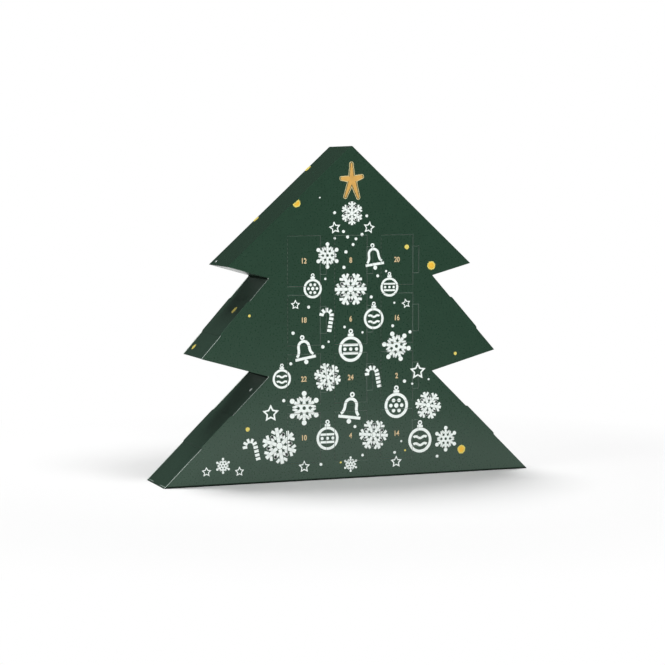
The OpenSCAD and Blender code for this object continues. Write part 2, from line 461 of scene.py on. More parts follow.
def finish(name):
    """The material of that name, made when it is first asked for."""
    if name in bpy.data.materials:
        return bpy.data.materials[name]
    scene = bpy.context.scene
    board, ink, inside = scene.calendar_board, scene.calendar_print, scene.calendar_inside
    # Colour and how much it varies, roughness, specular level, grains a metre and their height in metres
    papers = {
        "printed_green": (board.green, 0.05, 0.30, 0.50, 4200.0, 0.00003),
        # The roof green is a darker copy of the printed green: painted shade
        "roof_green": (board.roof, 0.05, 0.30, 0.50, 4200.0, 0.00003),
        # The wall green carries painted shade
        "wall_green": (board.wall, 0.05, 0.50, 0.45, 4200.0, 0.00003),
        "worn_fold": (board.worn, 0.12, 0.50, 0.30, 2600.0, 0.00004),
        # The dark core in the cuts is painted shade
        "pressed_core": (board.pressed, 0.08, 0.85, 0.2, 2600.0, 0.00006),
        # The dark slit core is painted shade
        "hinge_slit": (board.slit, 0.08, 0.85, 0.2, 2600.0, 0.00006),
        "board_core": (board.core, 0.06, 0.85, 0.2, 2600.0, 0.00008),
        "board_reverse": (board.reverse, 0.05, 0.8, 0.25, 1900.0, 0.00005),
        # The cut edge tone is cracked ink and partly a painted highlight
        "cut_edge": (board.cut, 0.12, 0.7, 0.2, 2600.0, 0.00004),
        # The dark edge without gloss is painted shade over inked edges
        "inked_edge": (board.inked, 0.10, 0.9, 0.0, 2600.0, 0.00004),
        "insert_card": (inside.card, 0.09, 0.88, 0.15, 1500.0, 0.00007),
        "white_ink": (ink.white, 0.015, 0.45, 0.3, 3000.0, 0.00002),
        "gold_ink": (ink.gold, 0.10, 0.4, 0.4, 3000.0, 0.00002),
        "pale_gold_ink": (ink.pale_gold, 0.06, 0.4, 0.4, 3000.0, 0.00002),
        "numeral_ink": (ink.numeral, 0.06, 0.4, 0.4, 3000.0, 0.00002),
        "star_gold_ink": (ink.star_gold, 0.10, 0.4, 0.4, 3000.0, 0.00002),
        "star_rim_ink": (ink.star_rim, 0.06, 0.4, 0.4, 3000.0, 0.00002),
        "score_line": (ink.score, 0.05, 0.5, 0.3, 3000.0, 0.00002),
    }
    if name in papers:
        colour, *rest = papers[name]
        return paper_material(name, tuple(colour), *rest)
    return foil_material(name, tuple({"gold_foil": inside.foil, "red_foil": inside.red_foil}[name]))


def give_materials(piece, *names):
    """Gives a piece these materials, in this order."""
    piece.data.materials.clear()
    for name in names:
        piece.data.materials.append(finish(name))


# Printed board


def deep(face):
    """True for a face that runs from the front towards the back."""
    depths = [corner.co.y for corner in face.verts]
    return max(depths) - min(depths) > DEEP


def paint_board(piece, test):
    """Gives each face of a board piece the material that the test names."""
    give_materials(piece, *BOARD_FINISHES)
    edit(piece)
    mesh = bmesh.from_edit_mesh(piece.data)
    mesh.normal_update()
    for face in mesh.faces:
        face.material_index = test(face)
    bmesh.update_edit_mesh(piece.data)
    leave()


def bevel_edges(piece, test, width, segments, material):
    """Bevels the edges that pass the test, and gives the new faces one of the piece's materials."""
    edit(piece)
    if choose(piece, "EDGE", test):
        bpy.ops.mesh.bevel(offset_type="OFFSET", offset=width, segments=segments, affect="EDGES",
                           material=material, clamp_overlap=True)
    leave()


def smooth(piece, degrees=35):
    """Smooths the rounded edges of a piece and keeps the flat faces beside them flat."""
    take(piece)
    bpy.ops.object.shade_smooth_by_angle(angle=math.radians(degrees))
    modifier = piece.modifiers.new("flat_faces", "WEIGHTED_NORMAL")
    modifier.weight = 100
    modifier.keep_sharp = True
    bpy.ops.object.modifier_apply(modifier=modifier.name)


def at_opening(point):
    """True inside the field of doors."""
    return abs(point.x) < FIELD_X and FIELD_LOW < point.z < FIELD_HIGH


def faces_slope(face):
    """True for a face that looks out and up, as the slopes of the tree do."""
    side = math.copysign(1.0, face.calc_center_median().x)
    return face.normal.z > LEANING and face.normal.x * side > LEANING


def front_face_kind(bare, band):
    """A test for the material of a face of the front sheet, with its bare core strip and its dark foot, which
    is painted shade.
    """
    def test(face):
        normal, centre = face.normal, face.calc_center_median()
        in_roof = centre.z > SLOPES["upper"][0][1] * MM - BOARD_T
        # The band along the foot is painted shade
        if normal.y < -FACING and centre.z < band:
            return INK_AND_SHADE
        if normal.y < -FACING or (normal.y > FACING and centre.y > 0):
            return PRINTED
        if normal.y > FACING:
            return REVERSE
        if not deep(face):
            # Cut walls at the doors take the dark core: painted shade
            if at_opening(centre):
                return CUT_SHADE
            # Cut ends away from the bare strip take the dark edge: ink darkened into painted shade
            return CORE if faces_slope(face) and centre.y < bare - FACE_Y else INK_AND_SHADE
        # The slopes and flaps take the roof and wall greens, which carry painted shade
        if faces_slope(face):
            return SHADED_ROOF if in_roof else SHADED_WALL
        if normal.z < -LEANING and normal.x * centre.x < 0:
            return REVERSE
        return CORE if in_roof else SHADED_WALL
    return test


def back_face_kind(face):
    """The material of a face of the flat back sheet."""
    if face.normal.y > FACING:
        return PRINTED
    return REVERSE if face.normal.y < -FACING else CORE


def is_fold(*kinds):
    """A test for the outer edges where the print goes round a fold between these two materials."""
    def test(edge):
        if len(edge.link_faces) != 2:
            return False
        one, two = edge.link_faces
        if sorted((one.material_index, two.material_index)) != sorted(kinds):
            return False
        return one.normal.angle(two.normal) > FOLD_ANGLE and (deep(one) or deep(two))
    return test


def near_hinge(edge):
    """True for an edge on a door's hinge line, which is creased and not cut through."""
    a, b = (corner.co for corner in edge.verts)
    if abs(a.x - b.x) > UPRIGHT_APART:
        return False
    return any(abs(a.x - at.x) < HINGE_NEAR and a.y * at.y > 0 for at in HINGES.values())


def bevel_cuts(piece, outward, width):
    """Presses the edges of the doors and openings where the die has cut a printed face, in a pale tone that
    is cracked ink and partly a painted highlight.
    """
    def is_cut(edge):
        kinds = sorted(face.material_index for face in edge.link_faces)
        if kinds not in ([PRINTED, CORE], [PRINTED, CUT_AND_HIGHLIGHT], [PRINTED, CUT_SHADE]):
            return False
        printed = min(edge.link_faces, key=lambda face: face.material_index)
        return printed.normal.y * outward > FACING

    def test(edge):
        return is_cut(edge) and not near_hinge(edge) and at_opening(edge.verts[0].co)

    bevel_edges(piece, test, width, 1, CUT_AND_HIGHLIGHT)
    # Upright cut lines, which the eye looks into, take the darker core tone of the cuts: painted shade
    for face in piece.data.polygons:
        if face.material_index == CUT_AND_HIGHLIGHT and abs(face.normal.x) > abs(face.normal.z):
            face.material_index = CUT_SHADE


def shape_flap(sheet, slope, side, board):
    """In edit mode, thins a flap of the sheet towards its glued end and slopes its two cut ends."""
    (x0, z0), (x1, z1) = slope
    up = Vector((x1 - x0, 0, z1 - z0)).normalized()
    out = Vector((z1 - z0, 0, x0 - x1)).normalized()
    middle = Vector((x0 + x1, 0, z0 + z1)) / 2 * MM

    def from_middle(corner):
        return Vector((corner.co.x * side, 0, corner.co.z)) - middle

    def at_glued_end(corner):
        if corner.co.x * side < 0 or corner.co.y < FACE_Y - NEAR:
            return False
        return abs(from_middle(corner).dot(out) - BOARD_T) < NEAR

    choose(sheet, "VERT", at_glued_end)
    bpy.ops.transform.translate(value=Vector((-out.x * side, 0, -out.z)) * board.flap_taper)
    for end in (-1, 1):
        def at_end(corner):
            place = from_middle(corner)
            if abs(place.dot(up) - end * FLAP_LEN / 2 * MM) > NEAR:
                return False
            return FLAP_OUT < place.dot(out) < BOARD_T + NEAR

        choose(sheet, "VERT", at_end)
        bpy.ops.transform.translate(value=Vector((up.x * side, 0, up.z)) * -end * board.flap_chamfer)


def at_foot(edge):
    """True for the lower edge of the front."""
    return all(corner.co.z < FOOT_HIGH and corner.co.y < NEAR - FACE_Y for corner in edge.verts)


class CALENDAR_OT_sheets(bpy.types.Operator):
    """Make the printed front and back sheets."""

    bl_idname = "calendar.sheets"
    bl_label = "Printed sheets"

    def execute(self, context):
        board = context.scene.calendar_board
        front = cad_copy("front_panel", "front_sheet")
        edit(front)
        choose(front, "FACE", lambda face: faces_slope(face) and not deep(face))
        bpy.ops.mesh.bisect(plane_co=(0, board.bare_edge - FACE_Y, 0), plane_no=(0, 1, 0))
        choose(front, "FACE", lambda face: face.normal.y < -FACING)
        bpy.ops.mesh.bisect(plane_co=(0, 0, board.foot_band), plane_no=(0, 0, 1))
        leave()
        paint_board(front, front_face_kind(board.bare_edge, board.foot_band))
        edit(front)
        for tier in ("lower", "middle"):
            for side in (-1, 1):
                shape_flap(front, SLOPES[tier], side, board)
        leave()
        eaves, ridge = is_fold(PRINTED, SHADED_ROOF), is_fold(SHADED_ROOF, SHADED_ROOF)
        bevel_edges(front, lambda edge: eaves(edge) or ridge(edge), board.fold_radius, FOLD_STEPS, PRINTED)
        bevel_edges(front, is_fold(PRINTED, SHADED_WALL), board.fold_radius, FOLD_STEPS, WORN)
        # The rounded foot takes the dark edge too: painted shade
        bevel_edges(front, at_foot, board.foot_radius, FOLD_STEPS, INK_AND_SHADE)
        bevel_cuts(front, -1.0, board.cut_width)
        smooth(front)
        ride(front, "box", "front_panel")
        back = cad_copy("back_panel", "back_sheet")
        paint_board(back, back_face_kind)
        bevel_cuts(back, 1.0, board.cut_width)
        smooth(back)
        ride(back, "box", "back_panel")
        return {"FINISHED"}


def wall_face_kind(side):
    """A test for the material of a face of the wall on one side."""
    def test(face):
        if abs(face.normal.y) > FACING or abs(face.normal.x) < STRIP_END:
            return CORE
        if face.normal.x * side < 0:
            return REVERSE
        # The outside takes the wall green, which carries painted shade
        return PRINTED if face.normal.z < -UNDERSIDE else SHADED_WALL
    return test


def base_face_kind(face):
    """The material of a face of the base, whose ledge shows outside the walls."""
    centre = face.calc_center_median()
    # Slopes and the ledge's middle take the wall green, which carries painted shade
    if faces_slope(face):
        return SHADED_WALL
    if abs(face.normal.z) < FACING:
        return CORE
    if face.normal.z < 0 or abs(centre.x) < LEDGE_X:
        return REVERSE
    return CORE if abs(centre.y) > LEDGE_Y else SHADED_WALL


class CALENDAR_OT_walls(bpy.types.Operator):
    """Make the folded side walls and the base."""

    bl_idname = "calendar.walls"
    bl_label = "Walls and base"

    def execute(self, context):
        board = context.scene.calendar_board
        fold = is_fold(SHADED_WALL, PRINTED)
        for name, side in (("left_wall_strip", -1.0), ("right_wall_strip", 1.0)):
            wall = cad_copy(name, name.replace("_strip", ""))
            paint_board(wall, wall_face_kind(side))
            bevel_edges(wall, lambda edge: fold(edge) and edge.is_convex,
                        board.fold_radius * WALL_FOLD, FOLD_STEPS, SHADED_WALL)
            # The inner folds take the dark edge: painted shade in the crease
            bevel_edges(wall, lambda edge: fold(edge) and not edge.is_convex,
                        board.inner_fold, FOLD_STEPS, INK_AND_SHADE)
            smooth(wall)
            ride(wall, "box", name)
        base = cad_copy("base_panel", "base")
        edit(base)
        for place, across in ((LEDGE_X, Vector((1, 0, 0))), (LEDGE_Y, Vector((0, 1, 0)))):
            for side in (-1, 1):
                bisect_all(across * place * side, across)
        leave()
        paint_board(base, base_face_kind)
        bevel_edges(base, lambda edge: edge.calc_length() > BASE_EDGE, board.cut_width, 2, CORE)
        smooth(base)
        ride(base, "box", "base_panel")
        return {"FINISHED"}


def door_face_kind(at, outward):
    """A test for the material of a face of the door whose hinge is at a place."""
    def test(face):
        facing, centre = face.normal.y * outward, face.calc_center_median()
        if facing < -FACING:
            return REVERSE
        # Faces in a hinge's slits take the dark slit core: painted shade
        in_slit = abs(centre.x - at.x) < SLIT_NEAR
        if facing > FACING:
            return SLIT_SHADE if in_slit and abs(centre.y) < FACE_Y - SLIT_DEEP else PRINTED
        if in_slit:
            return SLIT_SHADE
        # Crease walls near the surface take the pale cut tone: painted highlight
        return CUT_AND_HIGHLIGHT if abs(centre.y) > FACE_Y - CREASE_D * MM else CORE
    return test


class CALENDAR_OT_doors(bpy.types.Operator):
    """Make the doors with their creased tabs."""

    bl_idname = "calendar.doors"
    bl_label = "Doors"

    def execute(self, context):
        board = context.scene.calendar_board
        for number, at in sorted(HINGES.items()):
            outward = math.copysign(1.0, at.y)
            node = "door_%02d" % number
            door = cad_copy(node, "leaf_%02d" % number)
            paint_board(door, door_face_kind(at, outward))
            bevel_cuts(door, outward, board.cut_width)
            smooth(door)
            ride(door, node, node)
        return {"FINISHED"}


# Insert and chocolates

# Least length of a card's edge that is softened, and how much, in metres
CARD_EDGE = 5 * MM
CARD_SOFT = 0.15 * MM

# Least angle in radians of an edge that foil rounds off, angle in degrees up to which it shades smoothly, and
# how often a red one comes
FOIL_ANGLE = 0.6
FOIL_SMOOTH = 50
RED_EVERY = 3


class CALENDAR_OT_insert(bpy.types.Operator):
    """Give the slotted insert its uncoated card, with soft cut edges."""

    bl_idname = "calendar.insert"
    bl_label = "Insert"

    def execute(self, context):
        for node in ("centre_board", "front_uprights", "back_uprights", "front_shelves", "back_shelves"):
            piece = cad_copy(node, node.replace("_", "_card_", 1))
            give_materials(piece, "insert_card")
            bevel_edges(piece, lambda edge: edge.calc_length() > CARD_EDGE, CARD_SOFT, 1, 0)
            smooth(piece)
            ride(piece, "box", node)
        return {"FINISHED"}


def is_sharp(edge):
    """True for an edge that the foil rounds off."""
    return len(edge.link_faces) == 2 and edge.calc_face_angle() > FOIL_ANGLE


class CALENDAR_OT_chocolates(bpy.types.Operator):
    """Wrap the moulded chocolates in foil."""

    bl_idname = "calendar.chocolates"
    bl_label = "Chocolates"

    def execute(self, context):
        for number in sorted(HINGES):
            node = "chocolate_%02d" % number
            piece = cad_copy(node, "wrapped_%02d" % number)
            give_materials(piece, "gold_foil" if number % RED_EVERY else "red_foil")
            bevel_edges(piece, is_sharp, context.scene.calendar_inside.soften, FOLD_STEPS, 0)
            smooth(piece, FOIL_SMOOTH)
            ride(piece, "box", node)
        return {"FINISHED"}


# Motifs of the print are flat, face the front and lie in the plane y = 0 round the origin. Their numbers are
# millimetres on a drawing of this radius

MOTIF_R = 10.0
LINE_W = 1.9
THIN_W = 1.6
BAUBLE_R = 8.2
BAUBLE_TOP = 8.3

# Turn of a flat shape from the ground into the drawing plane, and degrees in each step of a bent stroke
UPRIGHT = (math.pi / 2, 0, 0)
BEND_STEP = 14


def motif(name):
    """An empty flat motif, open in edit mode."""
    deselect()
    bpy.ops.mesh.primitive_plane_add(size=MM)
    piece = bpy.context.active_object
    piece.name = name
    edit(piece)
    bpy.ops.mesh.delete(type="VERT")
    return piece


def bar(x0, z0, x1, z1, width):
    """A straight stroke."""
    bpy.ops.mesh.primitive_plane_add(size=MM, rotation=UPRIGHT)
    bpy.ops.transform.resize(value=(math.hypot(x1 - x0, z1 - z0), 1, width), center_override=(0, 0, 0))
    bpy.ops.transform.rotate(value=math.atan2(z1 - z0, x1 - x0), orient_axis="Y", center_override=(0, 0, 0))
    bpy.ops.transform.translate(value=((x0 + x1) / 2 * MM, 0, (z0 + z1) / 2 * MM))


def stroke(x, z, heading, width, moves):
    """A bent stroke: straight runs as lengths, and turns as a radius and an angle, positive to the left."""
    def left(angle):
        return Vector((-math.sin(angle), 0, math.cos(angle)))

    angle = math.radians(heading)
    bpy.ops.mesh.select_all(action="DESELECT")
    mesh = bmesh.from_edit_mesh(bpy.context.active_object.data)
    across = left(angle) * width / 2 * MM
    at = Vector((x, 0, z)) * MM
    mesh.edges.new((mesh.verts.new(at - across), mesh.verts.new(at + across))).select_set(True)
    bmesh.update_edit_mesh(bpy.context.active_object.data)
    bpy.ops.mesh.select_mode(type="EDGE")
    for move in moves:
        if isinstance(move, tuple):
            radius, turn = move[0] * MM, math.radians(move[1])
            side = math.copysign(1.0, turn)
            centre = at + left(angle) * radius * side
            steps = max(3, int(abs(move[1]) / BEND_STEP))
            bpy.ops.mesh.spin(steps=steps, angle=turn, center=centre, axis=(0, 1, 0))
            angle += turn
            at = centre - left(angle) * radius * side
        else:
            run = Vector((math.cos(angle), 0, math.sin(angle))) * move * MM
            bpy.ops.mesh.extrude_edges_move(TRANSFORM_OT_translate={"value": run})
            at = at + run


def disc(x, z, radius, corners):
    """A round dot."""
    bpy.ops.mesh.primitive_circle_add(vertices=corners, radius=radius * MM, fill_type="NGON",
                                      location=(x * MM, 0, z * MM), rotation=UPRIGHT)


def hollow(width):
    """Leaves only a line of this width along the edge of the selected face."""
    bpy.ops.mesh.inset(thickness=width * MM)
    bpy.ops.mesh.delete(type="FACE")


def ring(x, z, radius, width, corners):
    """A round line, measured to its outer edge."""
    disc(x, z, radius, corners)
    hollow(width)


def spin_six():
    """Copies what is in the motif five times round its centre."""
    bpy.ops.mesh.select_all(action="SELECT")
    bpy.ops.mesh.spin(steps=5, dupli=True, angle=math.radians(300), center=(0, 0, 0), axis=(0, 1, 0))


def close_motif(piece):
    """Turns every face of a flat motif to the front."""
    bpy.ops.mesh.select_all(action="SELECT")
    mesh = bmesh.from_edit_mesh(piece.data)
    mesh.normal_update()
    back_facing = [face for face in mesh.faces if face.normal.y > 0]
    bmesh.ops.reverse_faces(mesh, faces=back_facing)
    bmesh.update_edit_mesh(piece.data)
    leave()
    return piece


def make_flake():
    """A snowflake with two pairs of twigs on each arm."""
    piece = motif("motif_flake")
    bar(0, 2.0, 0, MOTIF_R, 2.0)
    for height, reach in ((4.2, 3.4), (7.2, 2.6)):
        for side in (-1, 1):
            start = 1.0 * side
            bar(start, height, start + side * reach * 0.82, height + reach * 0.57, THIN_W)
    spin_six()
    disc(0, 0, 2.0, 6)
    return close_motif(piece)


def make_frost():
    """A snowflake with a ring in its middle and a dot on each arm."""
    piece = motif("motif_frost")
    bar(0, 2.7, 0, 7.0, LINE_W)
    disc(0, 8.6, 1.55, 14)
    for side in (-1, 1):
        bar(0.95 * side, 4.4, 0.95 * side + 2.4 * side, 6.3, THIN_W)
    spin_six()
    ring(0, 0, 2.8, 1.7, 18)
    return close_motif(piece)


def bauble(name):
    """The outline of a bauble, open in edit mode."""
    piece = motif(name)
    ring(0, 0, BAUBLE_R, LINE_W, 40)
    return piece


def hang_bauble(piece):
    """Adds the cap and the loop at the top of a bauble, and closes it."""
    bar(-2.0, BAUBLE_TOP + 0.8, 2.0, BAUBLE_TOP + 0.8, THIN_W)
    ring(0, BAUBLE_TOP + 3.1, 1.6, 0.9, 14)
    return close_motif(piece)


def make_banded_bauble():
    """A bauble with two bands and three dots between them."""
    piece = bauble("motif_banded_bauble")
    for z in (-2.7, 2.7):
        reach = math.sqrt((BAUBLE_R - LINE_W) ** 2 - (abs(z) + THIN_W / 2) ** 2)
        bar(-reach, z, reach, z, THIN_W)
    for x in (-4.0, 0, 4.0):
        disc(x, 0, 1.15, 14)
    return hang_bauble(piece)


def make_dotted_bauble():
    """A bauble with a ring of dots."""
    piece = bauble("motif_dotted_bauble")
    for i in range(6):
        disc(3.8 * math.cos(math.pi * i / 3), 3.8 * math.sin(math.pi * i / 3), 1.25, 14)
    disc(0, 0, 1.5, 14)
    return hang_bauble(piece)


def make_wavy_bauble():
    """A bauble with two waves."""
    piece = bauble("motif_wavy_bauble")
    for z in (-2.3, 2.3):
        stroke(-4.5, z - 0.4, 42, THIN_W, [(2.3, -84), (2.3, 84), (2.3, -84)])
    return hang_bauble(piece)


def make_bell():
    """A bell with its rim, clapper and loop."""
    piece = motif("motif_bell")
    stroke(-6.1, -4.6, 40, LINE_W, [(6.0, 48), 2.0, (3.9, -176), 2.0, (6.0, 48)])
    bar(-7.6, -6.3, 7.6, -6.3, LINE_W)
    disc(0, -8.9, 1.6, 16)
    ring(0, 8.3, 1.7, 1.0, 16)
    return close_motif(piece)


def make_cane():
    """A cane of short stripes along a straight stem, a half turn and a short end."""
    piece = motif("motif_cane")
    foot, stem, reach, end = -9, 11.0, 3.8, 2.0
    stripe, pitch, width = 1.9, 2.75, 3.2
    bend = math.pi * reach

    def point(at):
        if at < stem:
            return reach - 1, foot + at
        if at < stem + bend:
            turn = (at - stem) / reach
            return reach * math.cos(turn) - 1, foot + stem + reach * math.sin(turn)
        return -reach - 1, foot + stem - (at - stem - bend)

    at = 0.0
    while at < stem + bend + end - 1.2:
        bar(*point(at), *point(at + stripe), width)
        at += pitch
    return close_motif(piece)


def clockwise(mesh):
    """The corners of a flat round shape, clockwise from the top."""
    return sorted(mesh.verts, key=lambda corner: math.atan2(corner.co.x, corner.co.z) % (2 * math.pi))


def make_star():
    """The rounded outline of a five-pointed star."""
    piece = motif("motif_star")
    bpy.ops.mesh.primitive_circle_add(vertices=10, radius=MOTIF_R * MM, fill_type="NGON", rotation=UPRIGHT)
    mesh = bmesh.from_edit_mesh(piece.data)
    corners = clockwise(mesh)
    top = max(range(len(corners)), key=lambda i: corners[i].co.z)
    for i, corner in enumerate(corners):
        if (i - top) % 2:
            corner.co *= 0.5
    bmesh.update_edit_mesh(piece.data)
    hollow(1.7)
    bpy.ops.mesh.select_all(action="SELECT")
    bpy.ops.mesh.bevel(affect="VERTICES", offset=0.7 * MM, segments=3)
    return close_motif(piece)


MOTIFS = {
    "flake": make_flake, "frost": make_frost, "banded": make_banded_bauble, "dotted": make_dotted_bauble,
    "wavy": make_wavy_bauble, "bell": make_bell, "cane": make_cane, "star": make_star,
}

# Print

# Motif, x, z and radius in millimetres, and tilt in degrees, on a face seen from outside
LAYOUT = [
    ("flake", 0, 204, 9, 0), ("star", -14, 193, 5, 10), ("star", 14, 193, 5, -10),
    ("frost", -20, 172, 10, 0), ("bell", 18, 171, 10, 8),
    ("dotted", -32, 147, 9, 0), ("flake", -1, 146, 13, 30), ("banded", 31, 147, 9, 0),
    ("cane", -20, 124, 11, -10), ("wavy", 18, 123, 10, 0), ("star", -46, 135, 4, 0), ("star", 45, 134, 4, 12),
    ("bell", -39, 101, 11, 10), ("banded", -1, 100, 12, 0), ("frost", 37, 101, 12, 20),
    ("flake", -20, 79, 11, 15), ("cane", 18, 79, 11, 10), ("wavy", -57, 79, 9, 0), ("star", 55, 81, 7, 0),
    ("frost", -39, 56, 13, 0), ("bell", -1, 55, 12, -8), ("dotted", 37, 55, 12, 0),
    ("star", -66, 53, 7, 0), ("flake", 64, 54, 11, 20),
    ("banded", -20, 32, 11, 0), ("flake", 18, 33, 12, 25), ("flake", -59, 28, 14, 10),
    ("wavy", 57, 27, 12, 0), ("cane", -81, 27, 11, 12), ("frost", 79, 27, 10, 0),
    ("star", -39, 11, 5, 0), ("star", 37, 11, 5, 0), ("frost", -1, 11, 6, 0),
    ("frost", -104, 15, 6, 0), ("star", -117, 11, 4, 0), ("star", -91, 10, 4, 0),
]

# Gold dots: x, z and radius in millimetres on a face, and the heading of a flattened side or None
DOTS = [
    (-45.0, 211.9, 3.15, -40), (45.4, 177.7, 1.85, None), (66.1, 163.0, 3.35, None),
    (86.9, 93.9, 1.3, None), (92.5, 18.1, 3.4, None), (-84.4, 41.8, 1.65, None),
    (-82.7, 127.5, 1.05, None), (-9.1, 12.8, 0.8, None), (44.5, 19.6, 0.8, None),
]

# A dot's uneven edge, how far out its flat side is and the width of its rim, as shares of its radius, the
# radius in millimetres from which it has a darker middle, and its corners
DOT_UNEVEN = 0.07
DOT_FLAT = 0.35
DOT_RIM = 0.29
DOT_RIM_FROM = 2.2
DOT_CORNERS = 22

# Gold dots on the slopes: tier, side, share of the slope from its lower end, depth and radius in millimetres
SLOPE_DOTS = [
    ("upper", -1, 0.81, 21.6, 2.8), ("upper", -1, 0.38, 21.8, 2.6), ("upper", 1, 0.70, 6.0, 2.6),
    ("upper", 1, 0.34, -9.0, 3.0), ("upper", 1, 0.12, 12.0, 1.8), ("middle", -1, 0.583, -9.9, 3.0),
    ("middle", -1, 0.105, 14.0, 2.4), ("middle", 1, 0.55, 8.0, 2.8), ("middle", 1, 0.15, -12.0, 2.0),
    ("lower", 1, 0.80, -4.0, 2.4), ("lower", 1, 0.50, 6.0, 3.0), ("lower", 1, 0.16, 12.0, 2.2),
]

# White ticks on the slopes, in the same order
SLOPE_TICKS = [("lower", -1, 0.87, -12.0, 1.6), ("upper", -1, 0.03, 14.0, 0.9)]
SLOPE_SEED = 50

# The star at the top: its middle, then the tip of each arm and the corner after it, clockwise, in millimetres
TREE_STAR = (0.0, 229.6)
STAR_TIPS = [(-0.5, 13.6), (9.7, 2.8), (5.6, -15.2), (-6.0, -14.5), (-10.3, 1.0)]
STAR_CORNERS = [(2.3, 3.4), (4.0, -1.6), (-0.2, -6.0), (-4.0, -1.9), (-2.9, 3.0)]

# The width and rounding of its blunt tips, the width of its outline, and how far from its middle the
# rounding and the gap inside the outline start, in millimetres
STAR_BLUNT = 3.0
STAR_ROUND = 1.3
STAR_LINE = 0.5
STAR_TIPS_FROM = 8.0
STAR_GAP_FROM = 7.0

# White specks on the bare part of a face: x, z and radius in millimetres
SPECKS = [(-26.2, 216.0, 0.65)]

# Snow dots, in millimetres: the heights that they lie between, half of their field's width at its top and how
# much it grows for each millimetre down, their radius, how far they keep from one another and from the rest,
# how many places are tried, and a dot's corners
SNOW_LOW = 10
SNOW_HIGH = 212
SNOW_TOP_HALF = 12
SNOW_GROW = 0.38
SNOW_RADIUS = (0.8, 1.4)
SNOW_APART = 3.0
SNOW_CLEAR = 1.8
SNOW_TRIES = 4000
SNOW_CORNERS = 12

# Room that the snow leaves to a motif as a share of its radius, and to a gold dot and a number in millimetres
MOTIF_ROOM = 1.12
DOT_ROOM = 1
NUMERAL_ROOM = 5.0

# A letter's size for a number of height 1, how much bolder its lines are in metres, and how narrow it is
NUMERAL_SIZE = 1.28
NUMERAL_BOLD = 0.00016
NUMERAL_NARROW = 0.84

# Score lines: their width, how far they keep from a door, and how far one runs on above the top door
SCORE_W = 0.35
SCORE_CLEAR = 0.4
SCORE_ABOVE = 2.6

# Order of the inks on a piece of print
INKS = ("white_ink", "gold_ink", "pale_gold_ink", "numeral_ink", "score_line", "star_gold_ink",
        "star_rim_ink")
WHITE, GOLD, PALE, NUMERAL, SCORE, STAR_GOLD, STAR_RIM = range(7)

# Faces: name, doors, sign of their y, by how many places the motifs are swapped, and seed
FACES = [("front", FRONT_DOORS, -1.0, 0, 11), ("back", BACK_DOORS, 1.0, 3, 29)]


def snow_places(count, seed):
    """Places for small snow dots among the motifs, clear of them, the gold and the numbers."""
    taken = [(x, z, radius * MOTIF_ROOM) for _, x, z, radius, _ in LAYOUT]
    taken += [(x, z, radius + DOT_ROOM) for x, z, radius, _ in DOTS]
    taken += [((HINGES[n].x / MM) + DOOR_W / 2, HINGES[n].z / MM, NUMERAL_ROOM) for n in FRONT_DOORS]
    source = random.Random(seed)
    places = []
    for _ in range(SNOW_TRIES):
        if len(places) == count:
            break
        z = source.uniform(SNOW_LOW, SNOW_HIGH)
        reach = SNOW_TOP_HALF + (SNOW_HIGH - z) * SNOW_GROW
        x = source.uniform(-reach, reach)
        if all(math.hypot(x - tx, z - tz) > room + SNOW_CLEAR for tx, tz, room in taken):
            places.append((x, z, source.uniform(*SNOW_RADIUS)))
            taken.append((x, z, SNOW_APART))
    return places


def copy_motif(source, x, z, scale, tilt):
    """A placed copy of a motif, with its own mesh."""
    take(source)
    bpy.ops.object.duplicate()
    piece = bpy.context.active_object
    piece.location = (x * MM, 0, z * MM)
    piece.scale = (scale, 1, scale)
    piece.rotation_euler = (0, -math.radians(tilt), 0)
    apply_place(piece)
    return piece


def set_inks(piece, inks):
    """Gives each face of a flat piece its ink."""
    give_materials(piece, *INKS)
    for face, ink in zip(piece.data.polygons, inks):
        face.material_index = ink


def set_ink(piece, ink):
    """Gives every face of a flat piece one ink."""
    set_inks(piece, [ink] * len(piece.data.polygons))


def blob(x, z, radius, seed, flat=None):
    """A gold dot with a paler rim and a slightly uneven edge. A small dot is pale all over."""
    piece = motif("dot")
    disc(0, 0, radius, DOT_CORNERS)
    bpy.ops.transform.vertex_random(offset=DOT_UNEVEN * radius * MM, uniform=1.0, normal=0.0, seed=seed)
    mesh = bmesh.from_edit_mesh(piece.data)
    for corner in mesh.verts:
        corner.co.y = 0
        if flat is not None:
            out = Vector((math.sin(math.radians(flat)), 0, math.cos(math.radians(flat))))
            corner.co -= out * max(0.0, corner.co.dot(out) - DOT_FLAT * radius * MM)
    bmesh.update_edit_mesh(piece.data)
    bpy.ops.mesh.inset(thickness=DOT_RIM * radius * MM)
    faces = bmesh.from_edit_mesh(piece.data).faces
    inks = [GOLD if face.select and radius > DOT_RIM_FROM else PALE for face in faces]
    close_motif(piece)
    set_inks(piece, inks)
    piece.location = (x * MM, 0, z * MM)
    apply_place(piece)
    return piece


